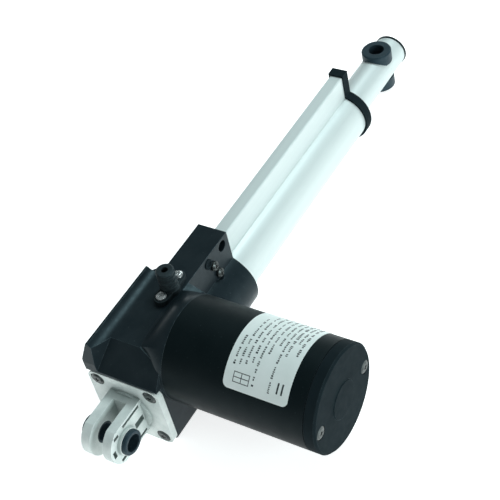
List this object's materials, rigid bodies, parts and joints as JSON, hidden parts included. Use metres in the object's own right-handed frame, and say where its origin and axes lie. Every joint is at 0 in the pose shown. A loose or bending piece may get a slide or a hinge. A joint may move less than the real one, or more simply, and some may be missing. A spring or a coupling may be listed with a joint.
{
  "type": "linear actuator",
  "caption": "Worm-drive linear actuator: right-angle motor barrel, gearbox casting, ridged outer tube, sliding rod with a cross bush and a rear fork clevis.",
  "frame": {"origin": "centre of the rear clevis pin bore, on the tube's axis", "axes": "+X along the tube to the rod end, +Y along the rear pin bore away from the motor, +Z towards the tube's ridge"},
  "size_m": [0.3475, 0.1347, 0.0765],
  "materials": {
    "casting_black": "satin black powder coat on a die casting",
    "cover_black": "satin black paint on drawn steel",
    "cap_black": "fine-textured black plastic",
    "clevis_alloy": "raw die-cast aluminium",
    "bush_plastic": "blue-grey moulded plastic",
    "tube_aluminium": "satin clear anodised",
    "gland_rubber": "black rubber",
    "screw_bright": "bright zinc plate",
    "screw_dark": "dull zinc plate",
    "label_print": null,
    "seal_rubber": "black nitrile rubber",
    "turned_steel": "turned steel",
    "magnet_ferrite": "sintered ferrite",
    "copper": "enamelled copper",
    "lamination_steel": "stacked electrical steel",
    "carbon": "pressed carbon",
    "board_green": "solder-masked board",
    "switch_case": "moulded switch case",
    "nut_plastic": "natural acetal",
    "wheel_plastic": "natural nylon",
    "bush_white": "natural acetal",
    "brush_phenolic": "brown phenolic"
  },
  "bodies": {
    "housing": {"bearing_carrier": "turned_steel", "brush_holder": "brush_phenolic", "brush_springs": "screw_bright", "cable_gland": "gland_rubber", "carbon_brushes": "carbon", "clamp_screws": "screw_dark", "clevis_screws": "screw_dark", "end_cap_screws": "screw_dark", "field_magnets": "magnet_ferrite", "front_screw_bearing": "turned_steel", "gearbox_housing": "casting_black", "gland_screws": "screw_bright", "guide_bush": "bush_white", "limit_switch_board": "board_green", "limit_switches": "switch_case", "motor_can": "turned_steel", "motor_cover": "cover_black", "motor_end_cap": "cap_black", "motor_front_bearing": "turned_steel", "motor_front_plate": "clevis_alloy", "motor_gasket": "seal_rubber", "motor_rear_bearing": "turned_steel", "motor_rear_plate": "turned_steel", "outer_tube": "tube_aluminium", "rating_label": "label_print", "rear_bush_left": "bush_plastic", "rear_bush_right": "bush_plastic", "rear_clevis": "clevis_alloy", "rear_screw_bearing": "turned_steel", "side_plug": "cap_black", "tube_end_cap": "cap_black", "wiper_seal": "seal_rubber", "worm_end_bearing": "turned_steel"},
    "rod": {"inner_tube": "tube_aluminium", "drive_nut": "nut_plastic", "nut_pins": "turned_steel", "rod_end_plug": "cap_black", "front_bush_top": "bush_plastic", "front_bush_bottom": "bush_plastic"},
    "screw": {"lead_screw": "turned_steel", "worm_wheel": "wheel_plastic", "wheel_key": "turned_steel", "bearing_spacer": "turned_steel", "rear_circlip": "turned_steel", "end_stop_washer": "turned_steel", "end_stop_nut": "turned_steel"},
    "armature": {"worm_shaft": "turned_steel", "armature_core": "lamination_steel", "armature_windings": "copper", "commutator": "copper"}
  },
  "joints": [
    {"name": "rod_slide", "type": "slide", "parent": "housing", "child": "rod", "axis": [1, 0, 0], "range_m": [0, 0.15]},
    {"name": "screw_spin", "type": "hinge", "parent": "housing", "child": "screw", "pos_m": [0.052, 0, 0], "axis": [1, 0, 0], "continuous": true},
    {"name": "armature_spin", "type": "hinge", "parent": "housing", "child": "armature", "pos_m": [0.052, 0, 0.022], "axis": [0, 1, 0], "continuous": true}
  ],
  "couplings": [
    {"joint": "screw_spin", "follows": "rod_slide", "rad_per_m": -1570.8},
    {"joint": "armature_spin", "follows": "rod_slide", "rad_per_m": -47124}
  ]
}
